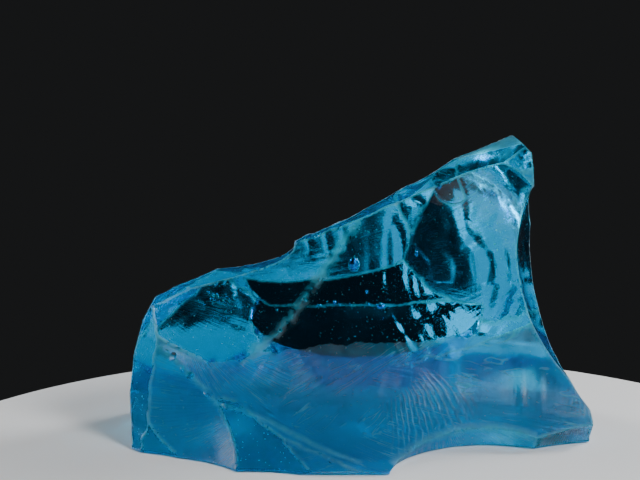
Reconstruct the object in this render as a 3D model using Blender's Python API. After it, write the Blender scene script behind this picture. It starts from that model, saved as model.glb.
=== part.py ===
"""A hand-sized chunk of clear blue quartz, broken on every side and resting on its one flat face.

Metres, +Z up, the hollow front face towards -Y. The origin is the middle of the box round it, at the floor.
Quartz breaks in shells: each face is the inside of a smooth dish left by one blow. So the chunk is a
rough block with one dish taken out of it for each face, and its ridges are where two dishes meet.
All lengths below are in millimetres and all angles in degrees.
"""

import math
from collections import namedtuple

import bmesh
import bpy
from mathutils import Matrix, Vector

MM = 0.001
RING_STEP = 4.0  # distance between two rings of a dish
SPOKES = 56  # straight lines from the middle of a dish to its rim
DISH_WALL = 70.0  # how far a dish's wall stands out past its rim, clear of the block

# The rough block, as its front outline (x, z) and how far it runs from front to back.
BLOCK_OUTLINE = (
    (54.8, 0.0), (55.2, 5.5), (50.0, 40.0), (42.0, 62.0), (40.8, 68.0), (38.2, 70.9),
    (31.5, 68.4), (8.0, 60.0), (-20.0, 50.0), (-30.0, 41.5), (-43.0, 39.2), (-48.7, 34.6),
    (-52.2, 28.0), (-54.4, 20.0), (-55.2, 11.0), (-53.8, 0.0),
)
BLOCK_FRONT = -28.0
BLOCK_BACK = 28.0

# One blow: the deepest point of its dish, the way the dish opens (azimuth 0 is towards -Y and 90 towards
# +X, elevation is upwards), its turn about that, its half lengths across, along and deep, and how far
# its rim is from the deepest point, as the angle seen from the middle of the dish.
Blow = namedtuple("Blow", "name at azimuth elevation turn half_lengths rim")
BLOWS = (
    # the front
    Blow("hollow", (-62.0, 11.5, 62.0), 5, 11, -21, (124, 49, 25), 88),
    Blow("shelf", (-6.0, -26.5, 1.5), 40, 80, -40, (160, 32, 25), 88),
    Blow("lobe", (-31.5, -0.5, 21.0), 5, 39, 0, (80, 80, 80), 50),
    Blow("foot_end", (-44.0, -13.5, 3.0), -28, 25, 0, (50, 50, 50), 40),
    Blow("foot_left", (-32.1, -15.8, 5.0), -34, 39, 0, (40, 40, 40), 45),
    Blow("foot_middle", (-17.0, -22.0, 2.9), 4, 64, 0, (86, 44, 44), 60),
    Blow("notch", (15.0, -12.5, 1.0), 40, -25, 0, (26, 26, 26), 70),
    Blow("toe_front", (49.0, -7.0, 2.0), 20, -30, 0, (60, 60, 60), 24),
    Blow("brow", (35.0, -1.5, 66.8), -20, 38, 0, (60, 60, 60), 20),
    # the right side
    Blow("side_front", (38.0, 4.5, 45.0), 77, 0, 0, (42, 42, 42), 75),
    Blow("side", (42.3, 13.0, 47.0), 90, 0, 0, (80, 80, 80), 45),
    Blow("side_top", (40.5, 11.0, 62.0), 86, 5, 0, (180, 180, 180), 12),
    Blow("toe_back", (49.0, 19.0, 12.0), 130, 18, 0, (90, 90, 90), 30),
    # the left side and the top
    Blow("end", (-50.0, -7.0, 10.0), -45, 22, 0, (160, 160, 160), 18),
    Blow("top", (6.0, 11.0, 54.2), -60, 60, 0, (270, 270, 270), 15),
    Blow("top_left", (-60.0, 11.0, 33.6), -20, 80, 0, (43, 60, 8), 88),
    # the back
    Blow("back_left", (-24.0, 20.0, 26.0), 172, 20, 0, (90, 90, 90), 50),
    Blow("back_right", (20.0, 20.0, 40.0), 188, 16, 0, (80, 80, 80), 60),
    Blow("back_low", (8.0, 25.5, 9.0), 181, -6, 0, (120, 50, 70), 50),
    Blow("back_foot", (0.0, 20.0, 11.5), 176, 54, 3, (70, 12, 7), 85),
    Blow("heel", (-46.0, 15.0, 20.0), -140, 22, 0, (70, 70, 70), 40),
    Blow("back_window", (3.0, 18.8, 40.0), 180, -26, 5, (190, 120, 100), 10),
    Blow("back_undercut", (2.0, 13.0, 28.0), 179, -42, -4, (150, 66, 40), 11),
    Blow("back_column", (27.0, 14.5, 31.0), 176, 12, 0, (20, 32, 12), 80),
    Blow("back_lobe", (-31.0, 14.5, 26.0), 200, -24, 0, (24, 18, 9), 80),
    Blow("back_hole", (23.5, 15.5, 60.5), 178, -28, 0, (12, 14, 8), 22),
)


def clear_scene():
    for datablocks in (bpy.data.objects, bpy.data.collections, bpy.data.materials):
        for datablock in list(datablocks):
            datablocks.remove(datablock)


def new_collection(name):
    collection = bpy.data.collections.new(name)
    bpy.context.scene.collection.children.link(collection)
    return collection


def object_from(bm, name, collection):
    bmesh.ops.recalc_face_normals(bm, faces=bm.faces)
    mesh = bpy.data.meshes.new(name)
    bm.to_mesh(mesh)
    bm.free()
    obj = bpy.data.objects.new(name, mesh)
    collection.objects.link(obj)
    return obj


def make_block(name, collection):
    """The front outline as one face, drawn out from front to back."""
    bm = bmesh.new()
    corners = [bm.verts.new((x * MM, BLOCK_FRONT * MM, z * MM)) for x, z in BLOCK_OUTLINE]
    front = bm.faces.new(corners)
    drawn = bmesh.ops.extrude_face_region(bm, geom=[front])["geom"]
    back = [item for item in drawn if isinstance(item, bmesh.types.BMVert)]
    bmesh.ops.translate(bm, verts=back, vec=(0, (BLOCK_BACK - BLOCK_FRONT) * MM, 0))
    return object_from(bm, name, collection)


def dish_place(blow):
    """Puts a dish's own across, along and outward directions where its blow says."""
    azimuth = math.radians(blow.azimuth)
    elevation = math.radians(blow.elevation)
    outward = Vector((
        math.sin(azimuth) * math.cos(elevation),
        -math.cos(azimuth) * math.cos(elevation),
        math.sin(elevation),
    ))
    across = Vector((math.cos(azimuth), math.sin(azimuth), 0.0))
    along = outward.cross(across)
    axes = Matrix((across, along, outward)).transposed().to_4x4()
    return (
        Matrix.Translation(Vector(blow.at) * MM)
        @ axes
        @ Matrix.Rotation(math.radians(blow.turn), 4, "Z")
    )


def make_dish(blow, collection):
    """A closed bowl: an arc and a straight wall, spun about the line the dish opens along."""
    across, along, deep = blow.half_lengths
    rings = max(3, round(math.radians(blow.rim) * along / RING_STEP))
    bm = bmesh.new()
    profile = []
    for ring in range(rings + 1):
        angle = math.radians(blow.rim) * ring / rings
        profile.append(bm.verts.new((math.sin(angle), 0.0, 1.0 - math.cos(angle))))
    rim = profile[-1].co
    wall_top = rim.z + DISH_WALL / deep
    profile.append(bm.verts.new((rim.x, 0.0, wall_top)))
    profile.append(bm.verts.new((0.0, 0.0, wall_top)))
    edges = [bm.edges.new(pair) for pair in zip(profile, profile[1:])]
    bmesh.ops.spin(
        bm, geom=profile + edges, axis=(0, 0, 1), cent=(0, 0, 0),
        angle=math.tau, steps=SPOKES, use_merge=True,
    )
    bmesh.ops.remove_doubles(bm, verts=bm.verts, dist=1e-5)
    size = Matrix.Diagonal((across * MM, along * MM, deep * MM, 1.0))
    bmesh.ops.transform(bm, matrix=dish_place(blow) @ size, verts=bm.verts)
    dish = object_from(bm, "blow_" + blow.name, collection)
    dish.hide_render = True
    dish.display_type = "WIRE"
    return dish


def take_out(obj, cutter):
    cut = obj.modifiers.new(cutter.name, "BOOLEAN")
    cut.operation = "DIFFERENCE"
    cut.solver = "EXACT"
    cut.object = cutter


def blue_quartz():
    material = bpy.data.materials.new("blue_quartz")
    material.use_nodes = True
    shader = material.node_tree.nodes["Principled BSDF"]
    shader.inputs["Base Color"].default_value = (0.35, 0.80, 0.95, 1.0)
    shader.inputs["Roughness"].default_value = 0.05
    shader.inputs["IOR"].default_value = 1.54
    shader.inputs["Transmission Weight"].default_value = 1.0
    material.diffuse_color = (0.10, 0.60, 0.85, 1.0)
    return material


clear_scene()
crystal = new_collection("blue_quartz_crystal")
blows = new_collection("blows")

chunk = make_block("quartz_chunk", crystal)
chunk.data.materials.append(blue_quartz())
for blow in BLOWS:
    take_out(chunk, make_dish(blow, blows))
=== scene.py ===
import math
from collections import namedtuple

import bmesh
import bpy
import numpy as np
from mathutils import Matrix, Vector
from mathutils.kdtree import KDTree


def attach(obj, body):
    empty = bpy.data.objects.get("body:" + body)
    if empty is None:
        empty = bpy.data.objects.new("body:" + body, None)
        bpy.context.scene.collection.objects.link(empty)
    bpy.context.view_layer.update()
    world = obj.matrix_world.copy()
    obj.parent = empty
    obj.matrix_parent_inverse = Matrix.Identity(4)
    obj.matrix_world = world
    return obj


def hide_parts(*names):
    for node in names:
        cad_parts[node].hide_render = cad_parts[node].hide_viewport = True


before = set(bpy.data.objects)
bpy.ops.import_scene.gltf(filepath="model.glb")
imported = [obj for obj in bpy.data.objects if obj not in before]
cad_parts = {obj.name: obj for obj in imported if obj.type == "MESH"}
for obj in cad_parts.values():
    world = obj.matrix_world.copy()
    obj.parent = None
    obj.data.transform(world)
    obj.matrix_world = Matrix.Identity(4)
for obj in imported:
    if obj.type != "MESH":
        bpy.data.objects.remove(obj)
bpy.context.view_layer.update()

# ---------------------------------------------------------------------------------------------------
# The chunk. One lump of clear blue quartz, knocked off a larger mass. Quartz has no flat way to split:
# every blow takes out a shell and leaves a smooth dish, with ripples round the point that was struck
# and fine hackles running away from it. The lump is what is left between the dishes.
MM = 0.001

# The rough block, as its front outline (x, z) and how far it runs from front to back, in millimetres.
BLOCK_OUTLINE = (
    (54.8, 0.0), (55.2, 5.5), (50.0, 40.0), (42.0, 62.0), (40.8, 68.0), (38.2, 70.9),
    (31.5, 68.4), (8.0, 60.0), (-20.0, 50.0), (-30.0, 41.5), (-43.0, 39.2), (-48.7, 34.6),
    (-52.2, 28.0), (-54.4, 20.0), (-55.2, 11.0), (-53.8, 0.0),
)
BLOCK_FRONT = -28.0
BLOCK_BACK = 28.0

# One blow: the deepest point of its dish, the way the dish opens (azimuth 0 is towards -Y and 90 towards
# +X, elevation is upwards), its turn about that, its half lengths across, along and deep, and how far
# its rim is from the deepest point, as the angle seen from the middle of the dish.
# Then its marks: the struck point, across and along from the deepest one, how far apart the ripples are
# and how high, how high the hackles are, and how frosted the face is left, from 0 to 1.
Blow = namedtuple(
    "Blow", "name at azimuth elevation turn half_lengths rim struck ripple ripple_height hackle frost"
)
BLOWS = (
    # the front
    Blow("hollow", (-62.0, 11.5, 62.0), 5, 11, -21, (124, 49, 25), 88, (110, 20), 6.0, 0.09, 0.08, 0.03),
    Blow("shelf", (-6.0, -26.5, 1.5), 40, 80, -40, (160, 32, 25), 88, (-39, 31), 5.0, 0.06, 0.10, 0.36),
    Blow("lobe", (-31.5, -0.5, 21.0), 5, 39, 0, (80, 80, 80), 50, (14, 22), 5.0, 0.08, 0.08, 0.06),
    Blow("foot_end", (-44.0, -13.5, 3.0), -28, 25, 0, (50, 50, 50), 40, (0, 12), 4.0, 0.06, 0.06, 0.05),
    Blow("foot_left", (-32.1, -15.8, 5.0), -34, 39, 0, (40, 40, 40), 45, (10, 12), 4.0, 0.06, 0.06, 0.34),
    Blow("foot_middle", (-17.0, -22.0, 2.9), 4, 64, 0, (86, 44, 44), 60, (30, 6), 5.0, 0.06, 0.06, 0.36),
    Blow("notch", (15.0, -12.5, 1.0), 40, -25, 0, (26, 26, 26), 70, (0, 12), 4.0, 0.06, 0.06, 0.36),
    Blow("toe_front", (49.0, -7.0, 2.0), 20, -30, 0, (60, 60, 60), 24, (0, 12), 4.0, 0.06, 0.06, 0.12),
    Blow("brow", (35.0, -1.5, 66.8), -20, 38, 0, (60, 60, 60), 20, (0, 12), 4.0, 0.08, 0.08, 0.10),
    # the right side
    Blow("side_front", (38.0, 4.5, 45.0), 77, 0, 0, (42, 42, 42), 75, (0, 25), 5.0, 0.10, 0.10, 0.05),
    Blow("side", (42.3, 13.0, 47.0), 90, 0, 0, (80, 80, 80), 45, (0, 30), 6.0, 0.14, 0.12, 0.04),
    Blow("side_top", (40.5, 11.0, 62.0), 86, 5, 0, (180, 180, 180), 12, (0, 20), 6.0, 0.12, 0.12, 0.06),
    Blow("toe_back", (49.0, 19.0, 12.0), 130, 18, 0, (90, 90, 90), 30, (0, 22), 6.0, 0.20, 0.15, 0.10),
    # the left side and the top
    Blow("end", (-50.0, -7.0, 10.0), -45, 22, 0, (160, 160, 160), 18, (0, 22), 6.0, 0.14, 0.14, 0.12),
    Blow("top", (6.0, 11.0, 54.2), -60, 60, 0, (270, 270, 270), 15, (60, 12), 6.0, 0.12, 0.14, 0.12),
    Blow("top_left", (-60.0, 11.0, 33.6), -20, 80, 0, (43, 60, 8), 88, (20, 12), 6.0, 0.12, 0.12, 0.12),
    # the back
    Blow("back_left", (-24.0, 20.0, 26.0), 172, 20, 0, (90, 90, 90), 50, (40, 6), 5.0, 0.30, 0.24, 0.20),
    Blow("back_right", (20.0, 20.0, 40.0), 188, 16, 0, (80, 80, 80), 60, (30, 10), 8.0, 0.22, 0.14, 0.24),
    Blow("back_low", (8.0, 25.5, 9.0), 181, -6, 0, (120, 50, 70), 50, (0, 30), 6.0, 0.20, 0.20, 0.20),
    Blow("back_foot", (0.0, 20.0, 11.5), 176, 54, 3, (70, 12, 7), 85, (0, 14), 6.0, 0.20, 0.20, 0.20),
    Blow("heel", (-46.0, 15.0, 20.0), -140, 22, 0, (70, 70, 70), 40, (0, 30), 6.0, 0.26, 0.22, 0.12),
    Blow("back_window", (3.0, 18.8, 40.0), 180, -26, 5, (190, 120, 100), 10,
         (10, 60), 7.0, 0.10, 0.16, 0.04),
    Blow("back_undercut", (2.0, 13.0, 28.0), 179, -42, -4, (150, 66, 40), 11,
         (10, 60), 7.0, 0.14, 0.20, 0.05),
    Blow("back_column", (27.0, 14.5, 31.0), 176, 12, 0, (20, 32, 12), 80, (34, 4), 8.0, 0.24, 0.14, 0.24),
    Blow("back_lobe", (-31.0, 14.5, 26.0), 200, -24, 0, (24, 18, 9), 80, (26, 10), 5.0, 0.34, 0.30, 0.24),
    Blow("back_hole", (23.5, 15.5, 60.5), 178, -28, 0, (12, 14, 8), 22, (8, 26), 6.0, 0.03, 0.03, 0.03),
)
GRID_STEP = 0.62  # distance between two points of a dish
SWELL_LENGTH = 16.0  # the broad waves that every dish has
SWELL_HEIGHT = 0.22
DISH_WALL = 70.0  # how far a dish's wall stands out past its rim, clear of the block
WALL_RINGS = 22
# A dish with a rim this close to its middle, as an angle, cuts the chunk with its wall too. So its wall
# leans outwards by this share of its height, and has waves that start this far above the rim.
LOW_RIM = 12
WALL_LEAN = 0.06
WALL_WAVE_START = 3.0


def wavy(seed, x, y):
    """Smooth random heights from -1 to 1, one for every whole step of x and y."""
    table = np.random.default_rng(seed).uniform(-1, 1, (64, 64))
    i, j = np.floor(x).astype(int), np.floor(y).astype(int)
    fx, fy = x - i, y - j
    fx, fy = fx * fx * (3 - 2 * fx), fy * fy * (3 - 2 * fy)

    def at(di, dj):
        return table[(i + di) % 64, (j + dj) % 64]

    return (at(0, 0) * (1 - fx) + at(1, 0) * fx) * (1 - fy) + (at(0, 1) * (1 - fx) + at(1, 1) * fx) * fy


def marks(blow, seed, x, y):
    """How much deeper than its plain dish a blow went, at x across and y along from its deepest point.

    Broad swells, ripples round the struck point, hackles running away from it, and a fine crumple. All
    but the swells fade in and out over the face.
    """
    swell = SWELL_HEIGHT * wavy(seed, x / SWELL_LENGTH, y / SWELL_LENGTH)
    swell += 0.3 * SWELL_HEIGHT * wavy(seed + 1, x / SWELL_LENGTH * 2.3, y / SWELL_LENGTH * 2.3)
    away = np.hypot(x - blow.struck[0], y - blow.struck[1])
    turn = np.arctan2(y - blow.struck[1], x - blow.struck[0])
    late = away + 3.0 * wavy(seed + 2, turn * 4, away / 13)
    phase = math.tau * late / blow.ripple
    fade = np.clip(0.25 + 1.1 * wavy(seed + 3, x / 9, y / 9), 0, 1)
    ripples = blow.ripple_height * fade * (np.sin(phase) + 0.35 * np.sin(2 * phase + 1.0))
    lines = wavy(seed + 4, turn * 26, away / 14) + 0.6 * wavy(seed + 5, turn * 61, away / 9)
    hackle_fade = np.clip(0.9 * wavy(seed + 6, x / 9, y / 9), 0, 1)
    crumple = wavy(seed + 7, x / 2.9, y / 2.9) * np.clip(1.4 * wavy(seed + 8, x / 12 + 9, y / 12), 0, 1)
    return swell + ripples + blow.hackle * (hackle_fade * np.abs(lines) + 0.7 * crumple)


def grid_disc(blow):
    """Points of a triangle grid inside a dish's rim, in angles from its middle, and the triangles."""
    rim = math.radians(blow.rim)
    step_u = GRID_STEP / blow.half_lengths[0]
    step_v = GRID_STEP / blow.half_lengths[1] * math.sqrt(0.75)
    half_u, half_v = int(rim / step_u) + 2, int(rim / step_v) + 2
    column, row = np.meshgrid(np.arange(-half_u, half_u + 1), np.arange(-half_v, half_v + 1))
    u = (column + 0.5 * (row % 2)) * step_u
    v = row * step_v
    number = np.arange(u.size).reshape(u.shape)
    a, b = number[:-1, :-1], number[:-1, 1:]
    c, d = number[1:, :-1], number[1:, 1:]
    even = (row[:-1, :-1] % 2 == 0)
    lower = np.where(even[..., None], np.stack((a, b, c), -1), np.stack((a, b, d), -1)).reshape(-1, 3)
    upper = np.where(even[..., None], np.stack((b, d, c), -1), np.stack((a, d, c), -1)).reshape(-1, 3)
    faces = np.concatenate((lower, upper))
    inside = (u * u + v * v <= rim * rim).reshape(-1)
    faces = faces[inside[faces].all(1)]
    used, faces = np.unique(faces, return_inverse=True)
    return u.reshape(-1)[used], v.reshape(-1)[used], faces.reshape(-1, 3)


def rim_edges(faces):
    """The edges that only one triangle has, in that triangle's direction."""
    edges = np.concatenate((faces[:, (0, 1)], faces[:, (1, 2)], faces[:, (2, 0)]))
    low_high = np.sort(edges, axis=1)
    _, index, count = np.unique(low_high, axis=0, return_inverse=True, return_counts=True)
    return edges[count[index.reshape(-1)] == 1]


def dish_place(blow):
    """Puts a dish's own across, along and outward directions where its blow says."""
    azimuth = math.radians(blow.azimuth)
    elevation = math.radians(blow.elevation)
    outward = Vector((
        math.sin(azimuth) * math.cos(elevation),
        -math.cos(azimuth) * math.cos(elevation),
        math.sin(elevation),
    ))
    across = Vector((math.cos(azimuth), math.sin(azimuth), 0.0))
    along = outward.cross(across)
    axes = Matrix((across, along, outward)).transposed().to_4x4()
    turned = Matrix.Rotation(math.radians(blow.turn), 4, "Z")
    return Matrix.Translation(Vector(blow.at) * MM) @ axes @ turned @ Matrix.Diagonal((MM, MM, MM, 1.0))


def mesh_object(name, points, faces, place=None):
    mesh = bpy.data.meshes.new(name)
    mesh.from_pydata(points.tolist(), [], faces.tolist())
    if place is not None:
        mesh.transform(place)
    obj = bpy.data.objects.new(name, mesh)
    bpy.context.scene.collection.objects.link(obj)
    return obj


def dish_floor(blow, number):
    """The marked dish in its own directions: points, triangles, rim edges and the height of its rim."""
    u, v, faces = grid_disc(blow)
    edges = rim_edges(faces)
    on_rim = np.unique(edges)
    angle = np.hypot(u, v)
    push = np.ones_like(angle)
    push[on_rim] = math.radians(blow.rim) / angle[on_rim]
    u, v = u * push, v * push
    angle = np.maximum(np.hypot(u, v), 1e-9)
    across, along, deep = blow.half_lengths
    x = across * np.sin(angle) * u / angle
    y = along * np.sin(angle) * v / angle
    z = deep * (1 - np.cos(angle))
    outward = np.stack((x / across**2, y / along**2, (z - deep) / deep**2), 1)
    outward /= np.linalg.norm(outward, axis=1)[:, None]
    points = np.stack((x, y, z), 1) + outward * marks(blow, 10 * number, x, y)[:, None]
    return points, faces, edges, z.max()


def wall_growth(blow, number, turn, rise):
    """How far the wall of a dish with a low rim stands out, at a turn about the dish and a height."""
    if blow.rim >= LOW_RIM:
        return np.zeros_like(turn)
    wave = wavy(10 * number + 8, 3 * np.cos(turn) + 5, 3 * np.sin(turn) + rise / 9)
    wave += 0.35 * wavy(10 * number + 9, turn * 17 + 60, np.full_like(turn, rise / 14))
    return WALL_LEAN * rise + min(rise / WALL_WAVE_START, 1.0) * wave


def make_dish(blow, number):
    """One closed cutter: the marked dish, its wall in rings, and its lid."""
    points, faces, edges, rim_height = dish_floor(blow, number)
    on_rim = np.unique(edges)
    place_in_ring = np.zeros(len(points), int)
    place_in_ring[on_rim] = np.arange(len(on_rim))
    a, b = place_in_ring[edges[:, 0]], place_in_ring[edges[:, 1]]
    rim = points[on_rim]
    across, along, _ = blow.half_lengths
    turn = np.arctan2(rim[:, 1] / along, rim[:, 0] / across)
    below = on_rim
    layers, all_faces = [points], [faces]
    for ring in range(1, WALL_RINGS + 1):
        rise = (ring / WALL_RINGS) ** 1.5 * DISH_WALL  # the rings are closest together near the rim
        grown = wall_growth(blow, number, turn, rise)
        shift = np.stack((np.cos(turn) * grown, np.sin(turn) * grown, np.full_like(turn, rise)), 1)
        above = sum(map(len, layers)) + np.arange(len(on_rim))
        all_faces.append(np.stack((below[b], below[a], above[a]), 1))
        all_faces.append(np.stack((below[b], above[a], above[b]), 1))
        layers.append(rim + shift)
        below = above
    middle = sum(map(len, layers))
    layers.append(np.array([(0.0, 0.0, rim_height + DISH_WALL)]))
    all_faces.append(np.stack((below[b], below[a], np.full(len(a), middle)), 1))
    points = np.concatenate(layers)
    faces = np.concatenate(all_faces)[:, ::-1]
    dish = mesh_object("blow_" + blow.name, points, faces, dish_place(blow))
    number_faces(dish, number)
    return dish


def number_faces(obj, number):
    """Notes on each face which blow made it, which the Booleans carry over to the chunk."""
    numbers = obj.data.attributes.new("blow", "INT", "FACE")
    numbers.data.foreach_set("value", np.full(len(obj.data.polygons), number, np.int32))


def make_block():
    """The front outline as one face, drawn out from front to back."""
    bm = bmesh.new()
    corners = [bm.verts.new((x * MM, BLOCK_FRONT * MM, z * MM)) for x, z in BLOCK_OUTLINE]
    front = bm.faces.new(corners)
    drawn = bmesh.ops.extrude_face_region(bm, geom=[front])["geom"]
    back = [item for item in drawn if isinstance(item, bmesh.types.BMVert)]
    bmesh.ops.translate(bm, verts=back, vec=(0, (BLOCK_BACK - BLOCK_FRONT) * MM, 0))
    bmesh.ops.recalc_face_normals(bm, faces=bm.faces)
    mesh = bpy.data.meshes.new("quartz")
    bm.to_mesh(mesh)
    bm.free()
    obj = bpy.data.objects.new("quartz", mesh)
    bpy.context.scene.collection.objects.link(obj)
    number_faces(obj, 0)
    return obj


def take_out(obj, cutters):
    """Cuts each cutter out of obj, and removes the cutters."""
    for cutter in cutters:
        cut = obj.modifiers.new(cutter.name, "BOOLEAN")
        cut.operation = "DIFFERENCE"
        cut.solver = "MANIFOLD"
        cut.object = cutter
    bpy.context.view_layer.update()
    evaluated = obj.evaluated_get(bpy.context.evaluated_depsgraph_get())
    mesh = bpy.data.meshes.new_from_object(evaluated)
    obj.modifiers.clear()
    obj.data = mesh
    for cutter in cutters:
        bpy.data.objects.remove(cutter)


chunk = make_block()
cutters = [make_dish(blow, number) for number, blow in enumerate(BLOWS, 1)]
take_out(chunk, cutters)

# ---------------------------------------------------------------------------------------------------
# The chunk's ridges. Where two dishes meet, the quartz is thin and brittle. The ridges are worn a little
# round and pale, and small shells have sprung off them here and there.

# How far from a ridge it is worn, and the size of its largest chips, in millimetres.
Ridge = namedtuple("Ridge", "wear chip")
RIDGES = {
    ("hollow", "lobe"): Ridge(2.4, 0.9),
    ("hollow", "shelf"): Ridge(0.3, 0.3),
    ("lobe", "shelf"): Ridge(0.8, 0.7),
    ("shelf", "foot_middle"): Ridge(0.9, 1.7),
    ("shelf", "foot_left"): Ridge(0.9, 1.6),
    ("shelf", "notch"): Ridge(2.0, 1.0),
    ("hollow", "top"): Ridge(0.5, 1.0),
    ("lobe", "top"): Ridge(0.5, 1.0),
}
PLAIN_RIDGE = Ridge(0.5, 0.6)
RIDGE_BEND = math.radians(9)  # two blows meet in a ridge where the surface turns by more than this
RIDGE_FOOT = 0.0008  # metres above the floor, below which no ridge is chipped

# The low ridge along the front of the foot, which is chipped all the way, as points near it.
LIP = Ridge(1.3, 2.2)
LIP_STEP = 0.5
CHIPPED_LIP = (
    (-34.1, -10.1, 11.5), (-28.2, -11.1, 9.9), (-21.1, -13.2, 7.6), (-14.1, -17.0, 5.0),
    (-7.2, -20.7, 2.8), (-0.5, -23.9, 1.3),
)


def blow_numbers(mesh):
    numbers = np.empty(len(mesh.polygons), np.int32)
    mesh.attributes["blow"].data.foreach_get("value", numbers)
    return numbers


def lip_points(obj):
    """Points along the chipped lip, brought to the surface."""
    found = []
    for start, end in zip(CHIPPED_LIP, CHIPPED_LIP[1:]):
        steps = round((Vector(end) - Vector(start)).length / LIP_STEP)
        for step in range(steps):
            at = Vector(start).lerp(Vector(end), step / steps) * MM
            _, surface, _, _ = obj.closest_point_on_mesh(at)
            found.append(surface)
    return found


def ridge_points(obj):
    """Rows of x, y, z, wear and chip size, one for each edge where two blows meet in a ridge."""
    mesh = obj.data
    numbers = blow_numbers(mesh)
    bm = bmesh.new()
    bm.from_mesh(mesh)
    bm.edges.ensure_lookup_table()
    found = []
    for edge in bm.edges:
        if len(edge.link_faces) != 2:
            continue
        one, other = edge.link_faces
        first, second = numbers[one.index], numbers[other.index]
        if first == second or edge.calc_face_angle(0) < RIDGE_BEND:
            continue
        names = [BLOWS[n - 1].name if n > 0 else "block" for n in (first, second)]
        ridge = RIDGES.get(tuple(names)) or RIDGES.get(tuple(names[::-1])) or PLAIN_RIDGE
        middle = (edge.verts[0].co + edge.verts[1].co) / 2
        if middle.z > RIDGE_FOOT:
            found.append((*middle, *ridge))
    bm.free()
    found.extend((*point, *LIP) for point in lip_points(obj))
    return np.array(found)


def chip_tree(material):
    """Little shells at some of the points of a mesh, as one closed mesh to cut with."""
    tree = bpy.data.node_groups.new("chips", "GeometryNodeTree")
    sockets = tree.interface
    sockets.new_socket("Ridges", in_out="INPUT", socket_type="NodeSocketGeometry")
    for name, value in (("Share", 0.05), ("Smallest", 0.2), ("Jitter", 0.0003)):
        sockets.new_socket(name, in_out="INPUT", socket_type="NodeSocketFloat").default_value = value
    sockets.new_socket("Seed", in_out="INPUT", socket_type="NodeSocketInt").default_value = 7
    sockets.new_socket("Chips", in_out="OUTPUT", socket_type="NodeSocketGeometry")
    nodes, links = tree.nodes, tree.links
    inputs = nodes.new("NodeGroupInput")
    output = nodes.new("NodeGroupOutput")

    def random(kind, low, high, offset):
        node = nodes.new("FunctionNodeRandomValue")
        node.data_type = kind
        index = {"FLOAT": (2, 3), "FLOAT_VECTOR": (0, 1)}[kind]
        node.inputs[index[0]].default_value = low
        node.inputs[index[1]].default_value = high
        step = nodes.new("ShaderNodeMath")
        step.operation = "ADD"
        step.inputs[1].default_value = offset
        links.new(inputs.outputs["Seed"], step.inputs[0])
        links.new(step.outputs[0], node.inputs["Seed"])
        return node

    pick = random("FLOAT", 0.0, 1.0, 1)
    less = nodes.new("FunctionNodeCompare")
    less.operation = "LESS_THAN"
    links.new(pick.outputs[1], less.inputs["A"])
    links.new(inputs.outputs["Share"], less.inputs["B"])
    points = nodes.new("GeometryNodeMeshToPoints")
    links.new(inputs.outputs["Ridges"], points.inputs["Mesh"])
    links.new(less.outputs[0], points.inputs["Selection"])
    shift = random("FLOAT_VECTOR", (-1, -1, -1), (1, 1, 1), 2)
    scaled = nodes.new("ShaderNodeVectorMath")
    scaled.operation = "SCALE"
    links.new(shift.outputs[0], scaled.inputs[0])
    links.new(inputs.outputs["Jitter"], scaled.inputs["Scale"])
    moved = nodes.new("GeometryNodeSetPosition")
    links.new(points.outputs[0], moved.inputs["Geometry"])
    links.new(scaled.outputs[0], moved.inputs["Offset"])
    shell = nodes.new("GeometryNodeMeshIcoSphere")
    shell.inputs["Radius"].default_value = 0.001
    shell.inputs["Subdivisions"].default_value = 2
    size = nodes.new("GeometryNodeInputNamedAttribute")
    size.inputs["Name"].default_value = "chip"
    share = random("FLOAT", 0.0, 1.0, 3)
    cube = nodes.new("ShaderNodeMath")
    cube.operation = "POWER"
    cube.inputs[1].default_value = 2.5
    links.new(share.outputs[1], cube.inputs[0])
    grow = nodes.new("ShaderNodeMapRange")
    links.new(cube.outputs[0], grow.inputs["Value"])
    links.new(inputs.outputs["Smallest"], grow.inputs["To Min"])
    links.new(size.outputs["Attribute"], grow.inputs["To Max"])
    shape = random("FLOAT_VECTOR", (0.8, 0.6, 0.3), (1.3, 1.0, 0.6), 4)
    scale = nodes.new("ShaderNodeVectorMath")
    scale.operation = "SCALE"
    links.new(shape.outputs[0], scale.inputs[0])
    links.new(grow.outputs["Result"], scale.inputs["Scale"])
    turn = random("FLOAT_VECTOR", (0, 0, 0), (6.28, 6.28, 6.28), 5)
    place = nodes.new("GeometryNodeInstanceOnPoints")
    links.new(moved.outputs[0], place.inputs["Points"])
    links.new(shell.outputs[0], place.inputs["Instance"])
    links.new(turn.outputs[0], place.inputs["Rotation"])
    links.new(scale.outputs[0], place.inputs["Scale"])
    real = nodes.new("GeometryNodeRealizeInstances")
    links.new(place.outputs[0], real.inputs[0])
    join = nodes.new("GeometryNodeMeshBoolean")
    join.operation = "UNION"
    join.solver = "EXACT"
    join.inputs["Self Intersection"].default_value = True
    links.new(real.outputs[0], join.inputs["Mesh 2"])
    finish = nodes.new("GeometryNodeSetMaterial")
    finish.inputs["Material"].default_value = material
    links.new(join.outputs["Mesh"], finish.inputs["Geometry"])
    links.new(finish.outputs[0], output.inputs["Chips"])
    return tree


CHIP_NUMBER = len(BLOWS) + 1  # all faces of the chips get the first number that no blow has


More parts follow.
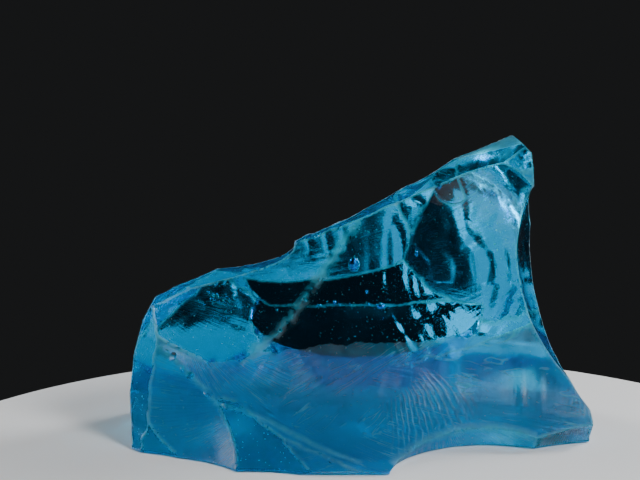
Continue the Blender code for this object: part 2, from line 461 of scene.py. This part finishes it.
def grow_chips(ridges, share, seed, material):
    """A cutter with a chip at this share of the ridges' points, from the chip tree."""
    obj = mesh_object("chips", ridges[:, :3], np.empty((0, 3), int))
    size = obj.data.attributes.new("chip", "FLOAT", "POINT")
    size.data.foreach_set("value", ridges[:, 4].astype(np.float32))
    grow = obj.modifiers.new("chips", "NODES")
    grow.node_group = chip_tree(material)
    for item in grow.node_group.interface.items_tree:
        if item.in_out == "INPUT" and item.name in ("Share", "Seed"):
            grow[item.identifier] = {"Share": share, "Seed": seed}[item.name]
    bpy.context.view_layer.update()
    evaluated = obj.evaluated_get(bpy.context.evaluated_depsgraph_get())
    mesh = bpy.data.meshes.new_from_object(evaluated)
    obj.modifiers.clear()
    obj.data = mesh
    number_faces(obj, CHIP_NUMBER)
    return obj


# ---------------------------------------------------------------------------------------------------
# The chunk's bubbles. Gas was caught in a few places as the quartz grew, in closed round hollows: where
# each one is, and its half lengths, in millimetres.
BUBBLE_NUMBER = len(BLOWS) + 2
BUBBLES = (
    ((-1.2, 12.5, 39.9), (1.5, 1.2, 1.9)),
    ((5.4, 10.0, 29.9), (1.3, 1.0, 0.8)),
    ((-6.0, 10.5, 30.5), (0.5, 0.5, 0.6)),
    ((2.0, 12.0, 33.0), (0.4, 0.4, 0.5)),
    ((-29.5, 3.0, 12.5), (0.5, 0.4, 0.7)),
    ((-30.5, 2.0, 10.5), (0.3, 0.3, 0.3)),
    ((-7.0, -6.0, 8.5), (0.6, 0.5, 0.6)),
    ((14.0, 11.0, 43.0), (0.5, 0.5, 0.9)),
    ((-20.0, 6.0, 30.0), (0.4, 0.4, 0.6)),
)


def make_bubbles():
    bm = bmesh.new()
    for at, size in BUBBLES:
        place = Matrix.Translation(Vector(at) * MM) @ Matrix.Diagonal((*(Vector(size) * MM), 1.0))
        bmesh.ops.create_icosphere(bm, subdivisions=3, radius=1.0, matrix=place)
    mesh = bpy.data.meshes.new("bubbles")
    bm.to_mesh(mesh)
    bm.free()
    obj = bpy.data.objects.new("bubbles", mesh)
    bpy.context.scene.collection.objects.link(obj)
    number_faces(obj, BUBBLE_NUMBER)
    return obj


# ---------------------------------------------------------------------------------------------------
# The chunk's surface. Clear quartz with a blue tint, glassy inside each shell and dull where it is
# rubbed: on the foot, along the ridges and under the rest face.

# How frosted the faces are that no blow made.
BLOCK_FROST = 0.1
CHIP_FROST = 0.22
BUBBLE_FROST = 0.02

LEAST_WORN = 0.05  # points that are less worn than this keep their place
REST_EDGE = 0.0003  # metres above the floor, so that the rest face stays flat


def note_surface(obj, ridges):
    """Notes each face corner's place from its struck point and its frost, and how worn each point is."""
    mesh = obj.data
    points = np.empty(len(mesh.vertices) * 3)
    mesh.vertices.foreach_get("co", points)
    points = points.reshape(-1, 3)
    corner_points = np.empty(len(mesh.loops), np.int32)
    mesh.loops.foreach_get("vertex_index", corner_points)
    sides = np.empty(len(mesh.polygons), np.int32)
    mesh.polygons.foreach_get("loop_total", sides)
    numbers = np.repeat(blow_numbers(mesh), sides)
    trace = points[corner_points] / MM
    frost = np.full(len(trace), BLOCK_FROST)
    for number, blow in enumerate(BLOWS, 1):
        mine = numbers == number
        back = np.array(dish_place(blow).inverted())
        local = points[corner_points[mine]] @ back[:3, :3].T + back[:3, 3]
        trace[mine] = local - (*blow.struck, 0.0)
        trace[mine, 2] = number
        frost[mine] = blow.frost
    frost[numbers == CHIP_NUMBER] = CHIP_FROST
    frost[numbers == BUBBLE_NUMBER] = BUBBLE_FROST
    mesh.attributes.new("trace", "FLOAT_VECTOR", "CORNER").data.foreach_set("vector", trace.reshape(-1))
    mesh.attributes.new("frost", "FLOAT", "CORNER").data.foreach_set("value", frost)
    tree = KDTree(len(ridges))
    for index, ridge in enumerate(ridges):
        tree.insert(ridge[:3], index)
    tree.balance()
    worn = np.zeros(len(points))
    for index, point in enumerate(points):
        _, nearest, away = tree.find(point)
        worn[index] = max(0.0, 1.0 - away / MM / ridges[nearest, 3])
    mesh.attributes.new("worn", "FLOAT", "POINT").data.foreach_set("value", worn)
    return worn


def wear_ridges(obj, worn, rounds):
    """Smooths the points near the ridges, but not those of the rest face."""
    bm = bmesh.new()
    bm.from_mesh(obj.data)
    bm.verts.ensure_lookup_table()
    near = [v for v in bm.verts if worn[v.index] > LEAST_WORN and v.co.z > REST_EDGE]
    for _ in range(rounds):
        bmesh.ops.smooth_vert(
            bm, verts=near, factor=0.5, use_axis_x=True, use_axis_y=True, use_axis_z=True
        )
    bm.to_mesh(obj.data)
    bm.free()


class Nodes:
    """Adds nodes to one material and links them."""

    def __init__(self, material):
        material.use_nodes = True
        self.tree = material.node_tree

    def add(self, kind, **settings):
        node = self.tree.nodes.new(kind)
        for name, value in settings.items():
            setattr(node, name, value)
        return node

    def link(self, value, socket):
        self.tree.links.new(value, socket)

    def math(self, operation, *values):
        node = self.add("ShaderNodeMath", operation=operation)
        for socket, value in zip(node.inputs, values):
            if isinstance(value, (int, float)):
                socket.default_value = value
            else:
                self.link(value, socket)
        return node.outputs[0]

    def times(self, first, *others):
        for other in others:
            first = self.math("MULTIPLY", first, other)
        return first

    def most(self, first, *others):
        for other in others:
            first = self.math("MAXIMUM", first, other)
        return first

    def length(self, x, y):
        return self.math("SQRT", self.math("ADD", self.times(x, x), self.times(y, y)))

    def attribute(self, name):
        return self.add("ShaderNodeAttribute", attribute_name=name)

    def split(self, vector):
        node = self.add("ShaderNodeSeparateXYZ")
        self.link(vector, node.inputs[0])
        return node.outputs

    def noise(self, vector, scale, detail=2.0, rough=0.5):
        node = self.add("ShaderNodeTexNoise")
        node.inputs["Scale"].default_value = scale
        node.inputs["Detail"].default_value = detail
        node.inputs["Roughness"].default_value = rough
        self.link(vector, node.inputs["Vector"])
        return node.outputs["Fac"]

    def ramp(self, value, low, high, start=0.0, end=1.0):
        """Goes from start to end as the value goes from low to high, and stays there past them."""
        node = self.add("ShaderNodeMapRange")
        for name, number in (("From Min", low), ("From Max", high), ("To Min", start), ("To Max", end)):
            node.inputs[name].default_value = number
        self.link(value, node.inputs["Value"])
        return node.outputs["Result"]


# The foot is dull: the faces that are frosted past DULL_FROST, and a part of the hollow, which is told by
# its low frost. That part lies between the lip, which falls to the right, and a slightly wavy line that
# climbs to the right. Each pair is where the mask starts and where it is full. Heights are in metres.
DULL_FROST = (0.25, 0.34)
HOLLOW_FROST = (0.05, 0.04)
FOOT_TOP = (0.0243, 0.0238)
FOOT_TOP_CLIMB = 0.06
FOOT_TOP_WAVE = 0.003
LIP_HEIGHT = (0.0008, 0.0013)
LIP_FALL = 0.304


def foot_mask(nodes, x, z, frost, swell):
    """1 on the foot and 0 elsewhere."""
    line = nodes.math("SUBTRACT", z, nodes.times(x, FOOT_TOP_CLIMB))
    line = nodes.math("ADD", line, nodes.times(swell, FOOT_TOP_WAVE))
    above_lip = nodes.math("ADD", z, nodes.times(x, LIP_FALL))
    foot = nodes.times(nodes.ramp(line, *FOOT_TOP), nodes.ramp(above_lip, *LIP_HEIGHT))
    foot = nodes.times(foot, nodes.ramp(frost, *HOLLOW_FROST))
    return nodes.most(foot, nodes.ramp(frost, *DULL_FROST))


# The fan of coarse hackles on the foot: the point it spreads from (x, z), how closely its lines lie, how
# much they bend on the way out, and where it fades in and out, in metres from the point and in radians.
FAN_AT = (0.0024, 0.0240)
FAN_LINES = 46.0
FAN_BEND = 18.0
FAN_NEAR = (0.014, 0.018)
FAN_FAR = (0.022, 0.030)
FAN_UPPER = (-0.40, -0.60)
FAN_LOWER = (-1.15, -1.35)


def fan_of_hackles(nodes, place, x, z, swell, foot):
    """1 along the hackles of the fan and 0 between them."""
    right = nodes.math("SUBTRACT", x, FAN_AT[0])
    up = nodes.math("SUBTRACT", z, FAN_AT[1])
    away = nodes.length(right, up)
    turn = nodes.math("ADD", nodes.math("ARCTAN2", up, right), nodes.times(swell, 0.08))
    bent = nodes.math("ADD", turn, nodes.times(away, FAN_BEND))
    line = nodes.math("ABSOLUTE", nodes.math("SINE", nodes.times(bent, FAN_LINES)))
    return nodes.times(
        nodes.math("POWER", line, 8.0),
        nodes.ramp(away, *FAN_NEAR),
        nodes.ramp(away, *FAN_FAR, 1.0, 0.0),
        nodes.ramp(turn, *FAN_UPPER),
        nodes.ramp(turn, *FAN_LOWER, 1.0, 0.0),
        foot,
        nodes.ramp(nodes.noise(place, 300.0), 0.35, 0.60, 0.2, 1.0),
    )


HACKLE_SPOKES = 44.0  # how closely the fine hackles lie round a struck point
RING_STEP = 1.1  # millimetres between two fine rings round a struck point
RELIEF = 0.00012  # metres, the height of the fine marks
RUBBED_UP_TO = (0.0001, 0.0004)  # metres above the floor, where the rubbing of the rest face fades out
MOST_GLASSY = 0.25  # the most roughness that a frosted face has, apart from the foot
FOOT_DULL = (0.29, 0.40)  # the roughness of the foot, at its clearest and its dullest
MOST_ROUGH = 0.85


def blue_quartz():
    material = bpy.data.materials.new("clear_blue_quartz")
    nodes = Nodes(material)
    shader = nodes.tree.nodes["Principled BSDF"]
    shader.inputs["IOR"].default_value = 1.544
    shader.inputs["Transmission Weight"].default_value = 1.0

    place = nodes.add("ShaderNodeTexCoord").outputs["Object"]
    x, _, z = nodes.split(place)
    swell = nodes.noise(place, 220.0)
    frost = nodes.attribute("frost").outputs["Fac"]
    worn = nodes.attribute("worn").outputs["Fac"]
    across, along, number = nodes.split(nodes.attribute("trace").outputs["Vector"])
    away = nodes.length(across, along)
    foot = foot_mask(nodes, x, z, frost, swell)
    fan = fan_of_hackles(nodes, place, x, z, swell, foot)

    # Fine hackles run away from the struck point, and fine rings lie round it.
    spokes = nodes.add("ShaderNodeCombineXYZ")
    nodes.link(nodes.times(nodes.math("DIVIDE", across, away), HACKLE_SPOKES), spokes.inputs[0])
    nodes.link(nodes.times(nodes.math("DIVIDE", along, away), HACKLE_SPOKES), spokes.inputs[1])
    level = nodes.math("ADD", nodes.times(away, 0.07), nodes.times(number, 9.1))
    nodes.link(level, spokes.inputs[2])
    streaks = nodes.noise(spokes.outputs[0], 1.0)
    hackles = nodes.times(
        streaks,
        nodes.ramp(nodes.noise(place, 70.0), 0.35, 0.70),
        nodes.ramp(frost, 0.03, 0.20, 0.7, 1.4),
        nodes.ramp(foot, 0.0, 1.0, 1.0, 2.6),
    )
    ring = nodes.math("ADD", away, nodes.times(swell, 1.4))
    rings = nodes.math("SINE", nodes.times(ring, math.tau / RING_STEP))
    rings = nodes.times(rings, nodes.times(nodes.ramp(nodes.noise(place, 60.0), 0.50, 0.70), 0.08))
    pits = nodes.ramp(nodes.noise(place, 1600.0), 0.60, 0.75)
    height = nodes.math("ADD", nodes.math("ADD", hackles, rings), nodes.times(pits, 0.10))
    height = nodes.math("ADD", height, nodes.times(fan, 1.1))
    relief = nodes.add("ShaderNodeBump")
    relief.inputs["Strength"].default_value = 1.0
    relief.inputs["Distance"].default_value = RELIEF
    nodes.link(height, relief.inputs["Height"])
    nodes.link(relief.outputs["Normal"], shader.inputs["Normal"])

    # Worn ridges, scratches, the fan and specks of dust are pale.
    scratches = nodes.math("ABSOLUTE", nodes.math("SUBTRACT", streaks, 0.5))
    scratches = nodes.times(
        nodes.ramp(scratches, 0.0, 0.018, 1.0, 0.0),
        nodes.ramp(nodes.noise(place, 130.0, 1.0), 0.47, 0.56),
        nodes.ramp(foot, 0.0, 1.0, 0.3, 1.0),
    )
    specks = nodes.ramp(nodes.noise(place, 1500.0, 1.0), 0.72, 0.76)
    pale = nodes.most(
        nodes.times(worn, nodes.ramp(nodes.noise(place, 650.0, 3.0), 0.30, 0.55, 0.40, 1.0)),
        nodes.times(specks, 0.8),
        scratches,
        nodes.times(fan, 0.6),
    )
    tint = nodes.add("ShaderNodeMix", data_type="RGBA")
    clear_tint, pale_tint = tint.inputs[6], tint.inputs[7]
    clear_tint.default_value = (0.0, 0.45, 0.86, 1.0)
    pale_tint.default_value = (0.80, 0.96, 1.0, 1.0)
    nodes.link(pale, tint.inputs[0])
    nodes.link(tint.outputs[2], shader.inputs["Base Color"])

    # Each face is frosted unevenly, the foot is dull all over, and the rest face is rubbed matt.
    uneven = nodes.noise(place, 140.0, 4.0, 0.6)
    mist = nodes.times(frost, nodes.ramp(uneven, 0.30, 0.65, 0.45, 1.5))
    mist = nodes.math("MINIMUM", mist, MOST_GLASSY)
    mist = nodes.most(mist, nodes.times(foot, nodes.ramp(uneven, 0.30, 0.65, *FOOT_DULL)))
    rough = nodes.math("ADD", mist, nodes.times(pale, 0.60))
    rough = nodes.math("ADD", rough, nodes.ramp(z, *RUBBED_UP_TO, 0.45, 0.0))
    nodes.link(nodes.math("MINIMUM", rough, MOST_ROUGH), shader.inputs["Roughness"])

    absorb = nodes.add("ShaderNodeVolumeAbsorption")
    absorb.inputs["Color"].default_value = (0.0, 0.948, 0.97, 1.0)
    absorb.inputs["Density"].default_value = 150.0
    nodes.link(absorb.outputs["Volume"], nodes.tree.nodes["Material Output"].inputs["Volume"])
    return material


CHIP_SHARE = 0.06
CHIP_SEED = 3
WEAR_ROUNDS = 2
RIDGE_ANGLE = math.radians(10)  # the surface is shaded smooth up to this bend

quartz = blue_quartz()
ridges = ridge_points(chunk)
chips = grow_chips(ridges, CHIP_SHARE, CHIP_SEED, quartz)
take_out(chunk, (chips, make_bubbles()))
worn = note_surface(chunk, ridges)
wear_ridges(chunk, worn, WEAR_ROUNDS)
chunk.data.shade_smooth()
chunk.data.set_sharp_from_angle(angle=RIDGE_ANGLE)
chunk.data.materials.clear()
chunk.data.materials.append(quartz)
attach(chunk, "root")
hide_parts("quartz_chunk")

# ---------------------------------------------------------------------------------------------------
# The floor, a plain pale sheet. It is round and ends close behind the chunk, so that the dark room
# beyond shows through the clear parts. It lies a hair below the rest face, so the two don't flicker.
FLOOR_RADIUS = 0.115
FLOOR_CENTRE = (0.0, -0.035, -0.0003)


def pale_floor():
    material = bpy.data.materials.new("pale_floor")
    material.use_nodes = True
    shader = material.node_tree.nodes["Principled BSDF"]
    shader.inputs["Base Color"].default_value = (0.72, 0.73, 0.74, 1.0)
    shader.inputs["Roughness"].default_value = 0.7
    return material


floor_mesh = bpy.data.meshes.new("floor")
bm = bmesh.new()
bmesh.ops.create_circle(bm, cap_ends=True, radius=FLOOR_RADIUS, segments=128)
bm.to_mesh(floor_mesh)
bm.free()
floor_mesh.transform(Matrix.Translation(FLOOR_CENTRE))
floor = bpy.data.objects.new("floor", floor_mesh)
bpy.context.scene.collection.objects.link(floor)
floor_mesh.materials.append(pale_floor())

# ---------------------------------------------------------------------------------------------------
# Soft studio light: a small box on each side and one at the front right, which light the floor, and two
# far behind the right that shine through the tall end. The outer faces don't mirror those two.
# Places and sizes are in metres, and the spread is in degrees.
Softbox = namedtuple("Softbox", "name place aim size spread watts")
SOFTBOXES = (
    Softbox("left", (-0.45, 0.22, 0.24), (0.0, 0.0, 0.03), (0.20, 0.20), 90, 0.45),
    Softbox("right", (0.42, 0.18, 0.24), (0.0, 0.0, 0.03), (0.20, 0.20), 90, 0.65),
    Softbox("front", (0.42, -0.34, 0.44), (0.0, 0.0, 0.03), (0.25, 0.25), 90, 1.1),
    Softbox("back_right", (0.86, 1.46, -0.22), (0.0, 0.0, 0.04), (1.08, 1.40), 180, 3.8),
    Softbox("back_low", (0.31, 1.47, -0.02), (0.0, 0.0, 0.04), (0.20, 0.34), 180, 0.32),
)
for box in SOFTBOXES:
    light = bpy.data.lights.new(box.name, "AREA")
    light.shape = "RECTANGLE"
    light.size, light.size_y = box.size
    light.spread = math.radians(box.spread)
    light.energy = box.watts
    lamp = bpy.data.objects.new(box.name, light)
    lamp.location = box.place
    lamp.visible_camera = False
    lamp.visible_glossy = not box.name.startswith("back")
    lamp.rotation_euler = (Vector(box.aim) - Vector(box.place)).to_track_quat("-Z", "Y").to_euler()
    bpy.context.scene.collection.objects.link(lamp)

world = bpy.data.worlds.new("room")
world.use_nodes = True
world.node_tree.nodes["Background"].inputs["Color"].default_value = (0.011, 0.0115, 0.012, 1.0)
bpy.context.scene.world = world

# ---------------------------------------------------------------------------------------------------
# The camera, in front of the hollow and a little above the floor, with a long lens.
CAMERA_AIM = Vector((-0.0095, 0.003, 0.0477))
CAMERA_AWAY = 0.36
CAMERA_UP = math.radians(10)
camera_data = bpy.data.cameras.new("camera")
camera_data.lens = 85.0
camera_data.sensor_width = 36.0
camera_data.clip_start = 0.01
camera = bpy.data.objects.new("camera", camera_data)
away = Vector((0.0, -math.cos(CAMERA_UP), math.sin(CAMERA_UP)))
camera.location = CAMERA_AIM + CAMERA_AWAY * away
camera.rotation_euler = (-away).to_track_quat("-Z", "Y").to_euler()
bpy.context.scene.collection.objects.link(camera)
bpy.context.scene.camera = camera
